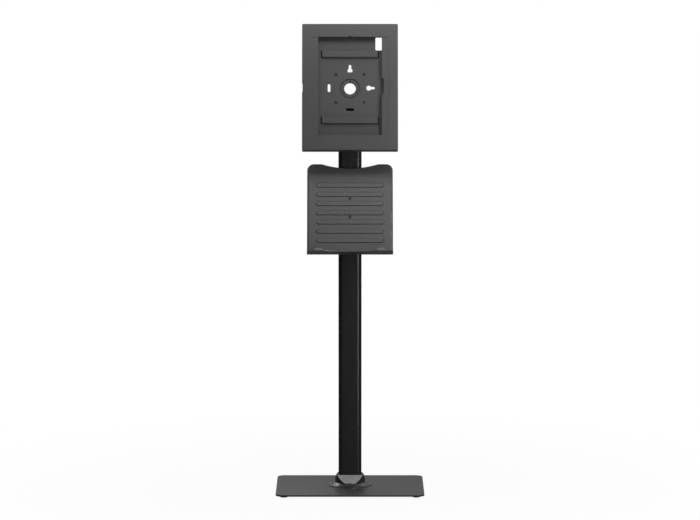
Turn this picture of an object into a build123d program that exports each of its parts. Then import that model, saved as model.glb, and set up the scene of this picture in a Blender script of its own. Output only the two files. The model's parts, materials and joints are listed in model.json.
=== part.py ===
from build123d import *
from math import cos, radians, sin, tan
import os

os.makedirs("parts", exist_ok=True)

# Floor stand for a tablet: a steel base plate, a hollow extruded pole, a sloping
# document tray and a lockable sheet-steel enclosure on a tilting, swivelling head.
# Millimetres, +Z up, the viewer on the -Y side. The origin lies on the floor under
# the centre of the base plate, and the pole stands a little behind it.

# Shared clearances
OVERRUN = 5.0                 # how far every cut runs past the surface it opens
QUARTER_TURN = 90.0
RUNNING_GAP = 0.08            # radial clearance of a turning fit
SEAT_GAP = 0.3                # clearance around a piece that sits in another
THREAD_GAP = 0.05             # radial clearance of a screw in its tapped hole
HOLE_GAP = 0.3                # radial clearance of a screw in a plain hole

# Base plate and feet
BASE_WIDTH = 400.0
BASE_DEPTH = 289.0
BASE_THICKNESS = 4.5
BASE_CORNER = 20.0
BASE_EDGE = 0.8
FOOT_HEIGHT = 4.5
FOOT_RADIUS = 11.0
FOOT_TAPER = 1.2
FOOT_INSET = 22.0             # foot centre in from both edges of the base
BASE_TOP = FOOT_HEIGHT + BASE_THICKNESS

# Pole: an extruded tube with four tapped screw ports in its corners
POLE_SETBACK = 12.5           # pole axis behind the centre of the base
POLE_WIDTH = 62.4
POLE_DEPTH = 40.0
POLE_CORNER = 11.0
POLE_WALL = 2.2
POLE_LENGTH = 1031.0
PORT_INSET = 8.0              # port centre in from both outer faces
PORT_RADIUS = 5.0
PORT_BORE = 2.6
POLE_TOP = BASE_TOP + POLE_LENGTH
POLE_FRONT = POLE_SETBACK - POLE_DEPTH / 2
POLE_BACK = POLE_SETBACK + POLE_DEPTH / 2

# Cable slot low in the back of the pole, and its plastic bushing
CABLE_SLOT_WIDTH = 34.0
CABLE_SLOT_HEIGHT = 17.0
CABLE_SLOT_RISE = 70.0        # slot centre above the top of the base
BUSHING_WALL = 2.0
BUSHING_FLANGE = 3.5          # flange beyond the slot's edge
BUSHING_FLANGE_THICKNESS = 1.5

# Screws: shank radius, head radius, head height
BASE_BOLT_LENGTH = 22.0
BASE_BOLT_HEAD = 5.5
BASE_BOLT_SINK = 3.0
YOKE_SCREW_LENGTH = 20.0
YOKE_SCREW_HEAD = 4.4
YOKE_SCREW_HEAD_HEIGHT = 2.6

# Collar round the foot of the pole: a round neck with four sloping facets on a flared skirt
COLLAR_HEIGHT = 29.5
COLLAR_RIM = 2.0              # wall left round the pole at the top
COLLAR_LEAN = 39.0            # slope of the facets from the pole, in degrees
COLLAR_NECK_RADIUS = 41.0
COLLAR_EDGE = 0.8             # rounding where facets and neck meet
COLLAR_WAIST_RADIUS = 38.0
COLLAR_WAIST_HEIGHT = 10.0
COLLAR_RADIUS = 61.0
COLLAR_LIP = 1.6
COLLAR_SAG = 1.6              # how far the skirt's curve hangs below its chord

# Cap on the pole and the yoke screwed through it
CAP_THICKNESS = 3.0
CAP_PLUG = 9.0
CABLE_HOLE_WIDTH = 20.0
CABLE_HOLE_DEPTH = 18.0
CABLE_HOLE_CORNER = 4.0
YOKE_PLATE_WIDTH = 58.0
YOKE_PLATE_DEPTH = 36.0
YOKE_PLATE_THICKNESS = 3.0
YOKE_PLATE_CORNER = 7.0
CHEEK_INNER = 12.0            # half the gap between the yoke's cheeks
CHEEK_THICKNESS = 3.0
TILT_EYE_RADIUS = 12.0
TILT_WASHER_THICKNESS = 1.0
TILT_WASHER_RADIUS = 10.5
EAR_THICKNESS = 3.0
TILT_BOLT_RADIUS = 4.0
TILT_BOLT_HEAD = 6.5
TILT_BOLT_HEAD_LENGTH = 6.0
TILT_NUT_FLATS = 13.0
TILT_NUT_LENGTH = 6.5
TILT_BOLT_TAIL = 2.0          # thread that shows past the nut
HEX_SIDES = 6
HEX_SOCKET_SHARE = 0.62       # hexagon socket across its corners, of the head
SOCKET_DEPTH_SHARE = 0.55     # socket depth, of the head's height
HEAD_ROUND_SHARE = 0.35       # rounding of a screw head, of its height

# Enclosure: its own frame has X across, Y up the face and Z out to the viewer,
# with the origin on the inner face of the back panel
ENCLOSURE_Y = -49.3
ENCLOSURE_Z = 1094.4
ENCLOSURE_TILT = 14.0
SHEET = 1.5
COVER_WIDTH = 255.6
COVER_HEIGHT = 341.0
COVER_CORNER = 3.5
COVER_BEND = 1.2
COVER_FACE = 26.0             # front face in front of the back panel's inner face
COVER_SKIRT = 5.0             # rear edge behind the back panel's inner face
COVER_GAP = 1.3               # all round between the cover's skirt and the housing
HOUSING_WALL_TOP = 15.0
HOUSING_CORNER = 2.0
WINDOW_SIDE = 26.3            # face left on both sides of the window
WINDOW_HEAD = 35.4            # and above it
WINDOW_FOOT = 40.0            # and below it
CAMERA_NOTCH = 3.5
SIDE_NOTCH_DEPTH = 4.5
SIDE_NOTCH_LENGTH = 50.0

# Holes in the back panel, placed from the hub
HUB_HOLE = 26.3
VESA_SPACING = 75.0
UPPER_KEYHOLE_REACH = 47.8    # centre of the keyhole's round head
RIGHT_KEYHOLE_REACH = 50.0
KEYHOLE_HEAD = 6.6
KEYHOLE_SLOT = 3.3
KEYHOLE_RUN = 12.7            # from the head's centre to the slot's last centre
SIDE_HOLE_LIFT = 1.0          # right keyhole and left slot, above the hub
LEFT_SLOT_REACH = 56.0
LOWER_SLOT_REACH = 57.2
SLOT_LENGTH = 21.5
SLOT_WIDTH = 7.0
CABLE_WINDOW_X = 80.5
CABLE_WINDOW_Y = 120.5
CABLE_WINDOW_WIDTH = 25.0
CABLE_WINDOW_HEIGHT = 34.8
CABLE_WINDOW_CORNER = 3.0

# Cross bars that carry the tablet's back
BAR_LENGTH = 155.0
BAR_WIDTH = 16.5
BAR_HEIGHT = 10.0
BAR_SLOPE = 3.5               # how far each end leans in
BAR_UPPER = 92.0
BAR_LOWER = 86.8

# Adapter strips that narrow the window on both sides
STRIP_SHOW = 16.8             # how far a strip reaches into the window
STRIP_END_GAP = 20.5          # from each end of a strip to the cover's outer edge
STRIP_NOTCH_DEPTH = 5.5
STRIP_NOTCH_TOP = 23.0        # above the hub
STRIP_NOTCH_FOOT = 14.5       # below the hub, where the notch starts to taper out
STRIP_NOTCH_END = 24.0
STUD_INSET = 3.5              # stud's centre outside the window
STUD_END = 20.0               # and in from the strip's end
STRIP_MARGIN = 4.5            # strip beyond the stud's centre
STUD_RADIUS = 1.5
STUD_LENGTH = 4.6
STUD_NUT_FLATS = 5.5
STUD_NUT_HEIGHT = 2.4

# Cover hinge: rolled knuckles and pins behind the right edge
KNUCKLE_RADIUS = 3.0
KNUCKLE_Z = -6.0
HINGE_REACH = 110.0           # centre of each hinge above and below the hub
HOUSING_KNUCKLE = 14.0
COVER_KNUCKLE = 9.0
PIN_RADIUS = 1.5
KNUCKLE_GAP = 0.3

# Cam lock in the left wall
LOCK_Z = 9.5
LOCK_BARREL = 7.0
LOCK_BARREL_LENGTH = 10.0     # inside the wall
LOCK_BEZEL = 11.0
LOCK_BEZEL_THICKNESS = 1.5
LOCK_CORE = 5.0
LOCK_NUT_FLATS = 17.0
LOCK_NUT_HEIGHT = 3.0
KEYWAY_LENGTH = 6.0
KEYWAY_WIDTH = 1.2
KEYWAY_DEPTH = 3.0
LOCK_TAB_WIDTH = 24.0
LOCK_TAB_TOP = 20.0
LOCK_CUTOUT_WIDTH = 26.0
CAM_WIDTH = 8.0
CAM_REACH = 11.5
CAM_THICKNESS = 2.0
CAM_SCREW_RADIUS = 1.5
CAM_SCREW_HEAD = 3.0
CAM_SCREW_HEAD_HEIGHT = 1.4
CAM_SCREW_LENGTH = 8.0
CATCH_START = 8.5             # catch in from the lock's axis, up the face
CATCH_WIDTH = 7.0
CATCH_SETOFF = 2.7            # between the catch's leg and the cam
CATCH_FOOT = 9.0
CATCH_FOOT_Z = 2.5

# Swivel head behind the back panel
SWIVEL_PLATE_MARGIN = 6.5     # plate outside the centres of the 75 mm pattern
SWIVEL_PLATE_CORNER = 10.0
SWIVEL_PLATE_THICKNESS = 4.0
SWIVEL_STEP = 2.0             # depth of the recess for the keeper ring
SWIVEL_RECESS = 26.3
KEEPER_RADIUS = 24.0
KEEPER_THICKNESS = 1.7
HUB_BORE = 15.5
HUB_RADIUS = 21.5
KEEPER_SCREW_COUNT = 3
KEEPER_SCREW_CIRCLE = 19.0
KEEPER_SCREW_RADIUS = 1.4
KEEPER_SCREW_LENGTH = 6.5
KEEPER_SCREW_HEAD = 2.5
KEEPER_SCREW_HEAD_HEIGHT = 1.0
SWIVEL_WASHER_RADIUS = 40.0
SWIVEL_WASHER_THICKNESS = 1.0
TILT_PLATE_RADIUS = 42.0
TILT_PLATE_THICKNESS = 3.0
VESA_SCREW_RADIUS = 1.9
VESA_SCREW_HEAD = 4.0
VESA_SCREW_HEAD_HEIGHT = 1.4
TILT_AXIS_DROP = 30.0         # tilt axis below the hub, along the back panel
TILT_AXIS_DEPTH = 30.0        # tilt axis behind the back panel's inner face
EAR_TOP = 14.0                # the ears' root on the tilt plate, above the hub
EAR_BOTTOM = 38.0             # and below it

# Document tray: its own frame has X across, Y up the face and Z out to the viewer
TRAY_Y = -60.5
TRAY_Z = 772.6
TRAY_TILT = 22.0
TRAY_WIDTH = 230.0
TRAY_HEIGHT = 252.0
TRAY_FLANGE = 9.0
TRAY_TOP_CORNER = 18.0
TRAY_BEND = 5.0
TRAY_RELIEF = 12.0            # the folded rim stops short of the ledge
SCOOP_HALF_WIDTH = 76.0
SCOOP_DEPTH = 11.8
SCOOP_ROUND = 14.0
RIB_COUNT = 7
RIB_LENGTH = 182.0
RIB_WIDTH = 13.8
RIB_PITCH = 25.6
RIB_RAISE = 2.5
RIB_SLOPE = 30.0              # sides lean in, in degrees
RIB_TOP_MARGIN = 60.5         # top edge of the tray to the centre of the first rib
LEDGE_DEPTH = 36.0
LEDGE_CORNER = 9.0
TAB_WIDTH = 20.5
TAB_X = 82.5
TAB_HEIGHT = 10.0
TAB_LEAN = 28.0               # tabs lean back to the tray, in degrees
TRAY_SCREW_UPPER = 28.0
TRAY_SCREW_LOWER = 22.9
TRAY_SCREW_RADIUS = 2.0
TRAY_SCREW_HEAD = 4.2
TRAY_SCREW_HEAD_HEIGHT = 1.6
TRAY_SCREW_LENGTH = 8.0

# Wedge bracket between the tray and the pole
BRACKET_WIDTH = 46.0
BRACKET_WALL = 2.0
BRACKET_ABOVE = 46.0          # above the tray's centre, along its face
BRACKET_BELOW = 42.0
BRACKET_SCREW_RADIUS = 2.5
BRACKET_SCREW_HEAD = 4.5
BRACKET_SCREW_HEAD_HEIGHT = 2.8
BRACKET_SCREW_LENGTH = 9.0
BRACKET_SCREW_SPACING = 44.0


def tilted_frame(y, z, tilt):
    """Frame of a leaning panel: X across, Y up its face, Z out to the viewer."""
    lean = radians(tilt)
    return Plane(origin=(0, y, z), x_dir=(1, 0, 0), z_dir=(0, -cos(lean), sin(lean)))


ENCLOSURE = tilted_frame(ENCLOSURE_Y, ENCLOSURE_Z, ENCLOSURE_TILT)
TRAY = tilted_frame(TRAY_Y, TRAY_Z, TRAY_TILT)
PORTS = [
    (side * (POLE_WIDTH / 2 - PORT_INSET), end * (POLE_DEPTH / 2 - PORT_INSET))
    for side in (-1, 1)
    for end in (-1, 1)
]
VESA_POINTS = [
    (side * VESA_SPACING / 2, end * VESA_SPACING / 2) for side in (-1, 1) for end in (-1, 1)
]
TILT_AXIS = ENCLOSURE.from_local_coords(Vector(0, -TILT_AXIS_DROP, -TILT_AXIS_DEPTH))

# Heights in the enclosure's frame, from the back panel to the tilt plate
BACK_OUTER = -SHEET
SWIVEL_PLATE_SIZE = VESA_SPACING + 2 * SWIVEL_PLATE_MARGIN
SWIVEL_BACK = BACK_OUTER - SWIVEL_PLATE_THICKNESS
WASHER_BACK = SWIVEL_BACK - SWIVEL_WASHER_THICKNESS
TILT_PLATE_BACK = WASHER_BACK - TILT_PLATE_THICKNESS
RECESS_FLOOR = BACK_OUTER - SWIVEL_STEP
KEEPER_BACK = RECESS_FLOOR + RUNNING_GAP
KEEPER_FRONT = KEEPER_BACK + KEEPER_THICKNESS
COVER_INNER = COVER_FACE - SHEET
STRIP_BACK = COVER_INNER - SHEET

# Window, adapter strips and studs, placed from the cover
WINDOW_WIDTH = COVER_WIDTH - 2 * WINDOW_SIDE
WINDOW_TOP = COVER_HEIGHT / 2 - WINDOW_HEAD
WINDOW_BOTTOM = WINDOW_FOOT - COVER_HEIGHT / 2
STRIP_LENGTH = COVER_HEIGHT - 2 * STRIP_END_GAP
STRIP_INNER = WINDOW_WIDTH / 2 - STRIP_SHOW
STUD_X = WINDOW_WIDTH / 2 + STUD_INSET
STUD_Y = STRIP_LENGTH / 2 - STUD_END
STRIP_OUTER = STUD_X + STRIP_MARGIN

# Half sizes of the housing, inside the cover's skirt
HOUSING_X = COVER_WIDTH / 2 - SHEET - COVER_GAP
HOUSING_Y = COVER_HEIGHT / 2 - SHEET - COVER_GAP
HINGE_X = COVER_WIDTH / 2 - KNUCKLE_RADIUS
WALL_INNER = SHEET - HOUSING_X
LOCK_END = WALL_INNER + LOCK_BARREL_LENGTH
CAM_BACK = LOCK_END + CAM_THICKNESS


def slab(outline, low, high):
    """Outline drawn in X and Y, carried from one Z to another."""
    return Pos(0, 0, low) * extrude(outline, high - low)


def side_slab(outline, low, high):
    """Outline drawn in Y and Z, carried from one X to another."""
    return Pos(low, 0, 0) * extrude(Plane.YZ * outline, high - low)


def cross_slab(outline, low, high):
    """Outline drawn in X and Z, carried from one Y to another."""
    return Pos(0, low, 0) * extrude(Plane.XZ * outline, low - high)


def outline_of(points):
    """Closed straight-sided face through the points."""
    return make_face(Polyline(*points, close=True))


def hexagon(flats):
    """Hexagon given by its width across the flats."""
    return RegularPolygon(flats / 2, HEX_SIDES, major_radius=False)


def cap_screw(shank, length, head, height):
    """Screw with a rounded socket head on Z above zero and its shank below."""
    body = slab(Circle(head), 0, height)
    body = fillet(body.edges().sort_by(Axis.Z)[-1], height * HEAD_ROUND_SHARE)
    socket = slab(
        RegularPolygon(head * HEX_SOCKET_SHARE, HEX_SIDES),
        height * (1 - SOCKET_DEPTH_SHARE),
        height + OVERRUN,
    )
    return body - socket + slab(Circle(shank), -length, 0)


def countersunk_profile(shank, head, sink, length):
    """Half section of a countersunk screw, head down at zero, shank up along Z."""
    points = [(0, 0), (head, 0), (shank, sink), (shank, length), (0, length)]
    return Plane.XZ * outline_of(points)


def save(name, *solids):
    """Write one node, a single solid or a group of separate ones."""
    shape = solids[0] if len(solids) == 1 else Compound(children=list(solids))
    export_step(shape, f"parts/{name}.step")


def base_plate():
    """Steel plate with countersunk holes for the bolts that hold the pole."""
    plate = slab(RectangleRounded(BASE_WIDTH, BASE_DEPTH, BASE_CORNER), 0, BASE_THICKNESS)
    plate = chamfer(plate.faces().sort_by(Axis.Z)[-1].edges(), BASE_EDGE)
    hole = revolve(
        countersunk_profile(
            PORT_BORE + HOLE_GAP, BASE_BOLT_HEAD + HOLE_GAP, BASE_BOLT_SINK, BASE_THICKNESS + OVERRUN
        ),
        Axis.Z,
    )
    for x, y in PORTS:
        plate -= Pos(x, y + POLE_SETBACK) * hole
    return Pos(0, 0, FOOT_HEIGHT) * plate


def base_feet():
    """Four rubber discs under the corners, narrower at the floor."""
    disc = slab(Circle(FOOT_RADIUS), 0, FOOT_HEIGHT)
    disc = chamfer(disc.edges().sort_by(Axis.Z)[0], FOOT_TAPER)
    reach_x = BASE_WIDTH / 2 - FOOT_INSET
    reach_y = BASE_DEPTH / 2 - FOOT_INSET
    return [Pos(x * reach_x, y * reach_y) * disc for x in (-1, 1) for y in (-1, 1)]


def base_bolts():
    """Countersunk bolts from under the base into the pole's screw ports."""
    bolt = revolve(
        countersunk_profile(PORT_BORE - THREAD_GAP, BASE_BOLT_HEAD, BASE_BOLT_SINK, BASE_BOLT_LENGTH),
        Axis.Z,
    )
    outline = RegularPolygon(BASE_BOLT_HEAD * HEX_SOCKET_SHARE, HEX_SIDES)
    socket = slab(outline, -OVERRUN, BASE_BOLT_SINK * SOCKET_DEPTH_SHARE)
    return [Pos(x, y + POLE_SETBACK, FOOT_HEIGHT) * (bolt - socket) for x, y in PORTS]


def collar():
    """Moulded collar: a round neck cut by four sloping facets, and a flared skirt."""
    opening_width = POLE_WIDTH + 2 * SEAT_GAP
    opening_depth = POLE_DEPTH + 2 * SEAT_GAP
    rim_width = opening_width + 2 * COLLAR_RIM
    rim_depth = opening_depth + 2 * COLLAR_RIM
    spread = 2 * COLLAR_HEIGHT * tan(radians(COLLAR_LEAN))
    pyramid = loft(
        [
            Rectangle(rim_width + spread, rim_depth + spread),
            Pos(0, 0, COLLAR_HEIGHT) * Rectangle(rim_width, rim_depth),
        ],
        ruled=True,
    )
    neck = slab(Circle(COLLAR_NECK_RADIUS), 0, COLLAR_HEIGHT) & pyramid
    neck = fillet(neck.edges().filter_by_position(Axis.Z, 0, COLLAR_HEIGHT, (False, False)), COLLAR_EDGE)
    middle = (
        (COLLAR_RADIUS + COLLAR_WAIST_RADIUS) / 2,
        (COLLAR_LIP + COLLAR_WAIST_HEIGHT) / 2 - COLLAR_SAG,
    )
    flare = ThreePointArc(
        (COLLAR_RADIUS, COLLAR_LIP), middle, (COLLAR_WAIST_RADIUS, COLLAR_WAIST_HEIGHT)
    )
    rest = Polyline(
        (COLLAR_WAIST_RADIUS, COLLAR_WAIST_HEIGHT),
        (0, COLLAR_WAIST_HEIGHT),
        (0, 0),
        (COLLAR_RADIUS, 0),
        (COLLAR_RADIUS, COLLAR_LIP),
    )
    skirt = revolve(Plane.XZ * make_face(flare + rest), Axis.Z)
    opening = RectangleRounded(opening_width, opening_depth, POLE_CORNER + SEAT_GAP)
    body = neck + skirt - slab(opening, -OVERRUN, COLLAR_HEIGHT + OVERRUN)
    return Pos(0, POLE_SETBACK, BASE_TOP) * body


def pole_bore():
    """Inside outline of the tube, without the screw ports."""
    return RectangleRounded(
        POLE_WIDTH - 2 * POLE_WALL, POLE_DEPTH - 2 * POLE_WALL, POLE_CORNER - POLE_WALL
    )


def tray_bracket_screw_heights():
    """Heights of the two screws that hold the tray's bracket on the pole."""
    return [TRAY_Z + side * BRACKET_SCREW_SPACING / 2 for side in (-1, 1)]


def pole():
    """Extruded tube with screw ports, a cable slot behind and two tapped holes in front."""
    outer = RectangleRounded(POLE_WIDTH, POLE_DEPTH, POLE_CORNER)
    section = outer - pole_bore()
    for x, y in PORTS:
        section += Pos(x, y) * Circle(PORT_RADIUS)
    for x, y in PORTS:
        section -= Pos(x, y) * Circle(PORT_BORE)
    tube = Pos(0, POLE_SETBACK) * slab(section, BASE_TOP, POLE_TOP)
    slot = cross_slab(
        SlotOverall(CABLE_SLOT_WIDTH, CABLE_SLOT_HEIGHT), POLE_SETBACK, POLE_BACK + OVERRUN
    )
    tube -= Pos(0, 0, BASE_TOP + CABLE_SLOT_RISE) * slot
    tapped = cross_slab(Circle(BRACKET_SCREW_RADIUS + THREAD_GAP), POLE_FRONT - OVERRUN, POLE_SETBACK)
    for height in tray_bracket_screw_heights():
        tube -= Pos(0, 0, height) * tapped
    return tube


def cable_bushing():
    """Flanged plastic bushing that lines the cable slot."""
    body_width = CABLE_SLOT_WIDTH - 2 * SEAT_GAP
    body_height = CABLE_SLOT_HEIGHT - 2 * SEAT_GAP
    flange_width = CABLE_SLOT_WIDTH + 2 * BUSHING_FLANGE
    flange_height = CABLE_SLOT_HEIGHT + 2 * BUSHING_FLANGE
    wall_back = POLE_BACK - POLE_WALL
    flange_back = POLE_BACK + BUSHING_FLANGE_THICKNESS
    body = cross_slab(SlotOverall(body_width, body_height), wall_back, POLE_BACK)
    body += cross_slab(SlotOverall(flange_width, flange_height), POLE_BACK, flange_back)
    body -= cross_slab(
        SlotOverall(body_width - 2 * BUSHING_WALL, body_height - 2 * BUSHING_WALL),
        wall_back - OVERRUN,
        flange_back + OVERRUN,
    )
    return Pos(0, 0, BASE_TOP + CABLE_SLOT_RISE) * body


def cable_hole(low, high):
    """Cutter for the cable's way down into the pole."""
    return slab(RectangleRounded(CABLE_HOLE_WIDTH, CABLE_HOLE_DEPTH, CABLE_HOLE_CORNER), low, high)


def pole_cap():
    """Plastic cap: a plate on the tube's end and a plug between the screw ports."""
    plate = slab(RectangleRounded(POLE_WIDTH, POLE_DEPTH, POLE_CORNER), 0, CAP_THICKNESS)
    plug = slab(offset(pole_bore(), -SEAT_GAP), -CAP_PLUG, 0)
    for x, y in PORTS:
        plug -= Pos(x, y) * slab(Circle(PORT_RADIUS + SEAT_GAP), -CAP_PLUG, 0)
    cap = plate + plug - cable_hole(-CAP_PLUG - OVERRUN, CAP_THICKNESS + OVERRUN)
    for x, y in PORTS:
        cap -= Pos(x, y) * slab(Circle(PORT_BORE + HOLE_GAP), -OVERRUN, CAP_THICKNESS + OVERRUN)
    return Pos(0, POLE_SETBACK, POLE_TOP) * cap


def head_yoke():
    """Steel yoke: a plate on the cap and two cheeks that reach forward to the tilt axis."""
    floor = POLE_TOP + CAP_THICKNESS
    top = floor + YOKE_PLATE_THICKNESS
    plate = slab(
        RectangleRounded(YOKE_PLATE_WIDTH, YOKE_PLATE_DEPTH, YOKE_PLATE_CORNER), floor, top
    )
    plate -= cable_hole(floor - OVERRUN, top + OVERRUN)
    for x, y in PORTS:
        plate -= Pos(x, y) * slab(Circle(PORT_BORE + HOLE_GAP), floor - OVERRUN, top + OVERRUN)
    plate = Pos(0, POLE_SETBACK) * plate
    foot = Pos(POLE_SETBACK, (floor + top) / 2) * Rectangle(YOKE_PLATE_DEPTH, YOKE_PLATE_THICKNESS)
    eye = Pos(TILT_AXIS.Y, TILT_AXIS.Z) * Circle(TILT_EYE_RADIUS)
    bore = Pos(TILT_AXIS.Y, TILT_AXIS.Z) * Circle(TILT_BOLT_RADIUS + RUNNING_GAP)
    cheek = make_hull(foot.edges() + eye.edges()) - bore
    outer = CHEEK_INNER + CHEEK_THICKNESS
    return plate + side_slab(cheek, CHEEK_INNER, outer) + side_slab(cheek, -outer, -CHEEK_INNER)


def yoke_screws():
    """Screws through yoke and cap into the pole's ports."""
    screw = cap_screw(
        PORT_BORE - THREAD_GAP, YOKE_SCREW_LENGTH, YOKE_SCREW_HEAD, YOKE_SCREW_HEAD_HEIGHT
    )
    top = POLE_TOP + CAP_THICKNESS + YOKE_PLATE_THICKNESS
    return [Pos(x, y + POLE_SETBACK, top) * screw for x, y in PORTS]


def tilt_bracket():
    """Round plate with a hollow hub in front and two ears behind, on the tilt axis."""
    plate = slab(Circle(TILT_PLATE_RADIUS), TILT_PLATE_BACK, WASHER_BACK)
    hub = slab(Circle(HUB_RADIUS), TILT_PLATE_BACK, KEEPER_BACK)
    root = Pos((EAR_TOP - EAR_BOTTOM) / 2, (TILT_PLATE_BACK + WASHER_BACK) / 2) * Rectangle(
        EAR_TOP + EAR_BOTTOM, TILT_PLATE_THICKNESS
    )
    eye = Pos(-TILT_AXIS_DROP, -TILT_AXIS_DEPTH) * Circle(TILT_EYE_RADIUS)
    bore = Pos(-TILT_AXIS_DROP, -TILT_AXIS_DEPTH) * Circle(TILT_BOLT_RADIUS + THREAD_GAP)
    ear = make_hull(root.edges() + eye.edges()) - bore
    inner = CHEEK_INNER + CHEEK_THICKNESS + TILT_WASHER_THICKNESS
    outer = inner + EAR_THICKNESS
    body = plate + hub + side_slab(ear, inner, outer) + side_slab(ear, -outer, -inner)
    body -= slab(Circle(HUB_BORE), TILT_PLATE_BACK - OVERRUN, KEEPER_BACK + OVERRUN)
    tapped = slab(
        Circle(KEEPER_SCREW_RADIUS + THREAD_GAP), TILT_PLATE_BACK - OVERRUN, KEEPER_BACK + OVERRUN
    )
    body -= [spot * tapped for spot in keeper_screw_spots()]
    return ENCLOSURE.location * body


def keeper_screw_spots():
    """Three places round the hub, the first one at the top."""
    return PolarLocations(KEEPER_SCREW_CIRCLE, KEEPER_SCREW_COUNT, start_angle=QUARTER_TURN)


def tilt_washers():
    """Friction washers between the yoke's cheeks and the bracket's ears."""
    inner = CHEEK_INNER + CHEEK_THICKNESS
    face = Circle(TILT_WASHER_RADIUS) - Circle(TILT_BOLT_RADIUS + HOLE_GAP)
    face = Pos(TILT_AXIS.Y, TILT_AXIS.Z) * face
    return [
        side_slab(face, inner, inner + TILT_WASHER_THICKNESS),
        side_slab(face, -inner - TILT_WASHER_THICKNESS, -inner),
    ]


def tilt_bolt():
    """Socket bolt through ears, washers and cheeks, with its head on the right."""
    outer = CHEEK_INNER + CHEEK_THICKNESS + TILT_WASHER_THICKNESS + EAR_THICKNESS
    length = 2 * outer + TILT_NUT_LENGTH + TILT_BOLT_TAIL
    bolt = cap_screw(TILT_BOLT_RADIUS, length, TILT_BOLT_HEAD, TILT_BOLT_HEAD_LENGTH)
    return Pos(outer, TILT_AXIS.Y, TILT_AXIS.Z) * Rot(0, QUARTER_TURN, 0) * bolt


def tilt_nut():
    """Lock nut on the left end of the tilt bolt."""
    outer = CHEEK_INNER + CHEEK_THICKNESS + TILT_WASHER_THICKNESS + EAR_THICKNESS
    face = hexagon(TILT_NUT_FLATS) - Circle(TILT_BOLT_RADIUS + THREAD_GAP)
    face = Pos(TILT_AXIS.Y, TILT_AXIS.Z) * face
    return side_slab(face, -outer - TILT_NUT_LENGTH, -outer)


def swivel_washer():
    """Thin plastic ring between the tilt plate and the swivel plate."""
    face = Circle(SWIVEL_WASHER_RADIUS) - Circle(HUB_RADIUS + SEAT_GAP)
    return ENCLOSURE.location * slab(face, WASHER_BACK, SWIVEL_BACK)


def keeper_ring():
    """Ring screwed on the hub, which keeps the swivel plate on it."""
    face = Circle(KEEPER_RADIUS) - Circle(HUB_BORE)
    ring = slab(face, KEEPER_BACK, KEEPER_FRONT)
    hole = slab(
        Circle(KEEPER_SCREW_RADIUS + HOLE_GAP), KEEPER_BACK - OVERRUN, KEEPER_FRONT + OVERRUN
    )
    ring -= [spot * hole for spot in keeper_screw_spots()]
    return ENCLOSURE.location * ring


def keeper_screws():
    """Three small screws that hold the keeper ring."""
    screw = cap_screw(
        KEEPER_SCREW_RADIUS, KEEPER_SCREW_LENGTH, KEEPER_SCREW_HEAD, KEEPER_SCREW_HEAD_HEIGHT
    )
    return [
        ENCLOSURE.location * spot * Pos(0, 0, KEEPER_FRONT) * screw for spot in keeper_screw_spots()
    ]


def swivel_plate():
    """Square plate behind the housing, turning on the hub, with the 75 mm pattern."""
    outline = RectangleRounded(SWIVEL_PLATE_SIZE, SWIVEL_PLATE_SIZE, SWIVEL_PLATE_CORNER)
    plate = slab(outline, SWIVEL_BACK, BACK_OUTER)
    plate -= slab(Circle(SWIVEL_RECESS), RECESS_FLOOR, BACK_OUTER + OVERRUN)
    plate -= slab(Circle(HUB_RADIUS + RUNNING_GAP), SWIVEL_BACK - OVERRUN, RECESS_FLOOR + OVERRUN)
    tapped = slab(
        Circle(VESA_SCREW_RADIUS + THREAD_GAP), SWIVEL_BACK - OVERRUN, BACK_OUTER + OVERRUN
    )
    plate -= [Pos(x, y) * tapped for x, y in VESA_POINTS]
    return ENCLOSURE.location * plate


def enclosure_screws():
    """Four screws from inside the housing into the swivel plate."""
    length = SHEET + SWIVEL_PLATE_THICKNESS
    screw = cap_screw(VESA_SCREW_RADIUS, length, VESA_SCREW_HEAD, VESA_SCREW_HEAD_HEIGHT)
    return [ENCLOSURE.location * Pos(x, y) * screw for x, y in VESA_POINTS]


def knuckle(length, tongue_x, tongue_top):
    """Rolled hinge eye on the cover's hinge line, with the tongue it is rolled from."""
    ring = Pos(HINGE_X, KNUCKLE_Z) * (Circle(KNUCKLE_RADIUS) - Circle(PIN_RADIUS + RUNNING_GAP))
    tongue_height = tongue_top - KNUCKLE_Z
    tongue = Pos(tongue_x, KNUCKLE_Z + tongue_height / 2) * Rectangle(SHEET, tongue_height)
    bore = Pos(HINGE_X, KNUCKLE_Z) * Circle(PIN_RADIUS + RUNNING_GAP)
    return cross_slab(ring + tongue - bore, -length / 2, length / 2)


def keyhole():
    """Cutter for a keyhole with its round head at the origin and its slot pointing up."""
    outline = Circle(KEYHOLE_HEAD)
    outline += Pos(0, KEYHOLE_RUN / 2) * Rectangle(2 * KEYHOLE_SLOT, KEYHOLE_RUN)
    outline += Pos(0, KEYHOLE_RUN) * Circle(KEYHOLE_SLOT)
    return slab(outline, BACK_OUTER - OVERRUN, OVERRUN)


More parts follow.
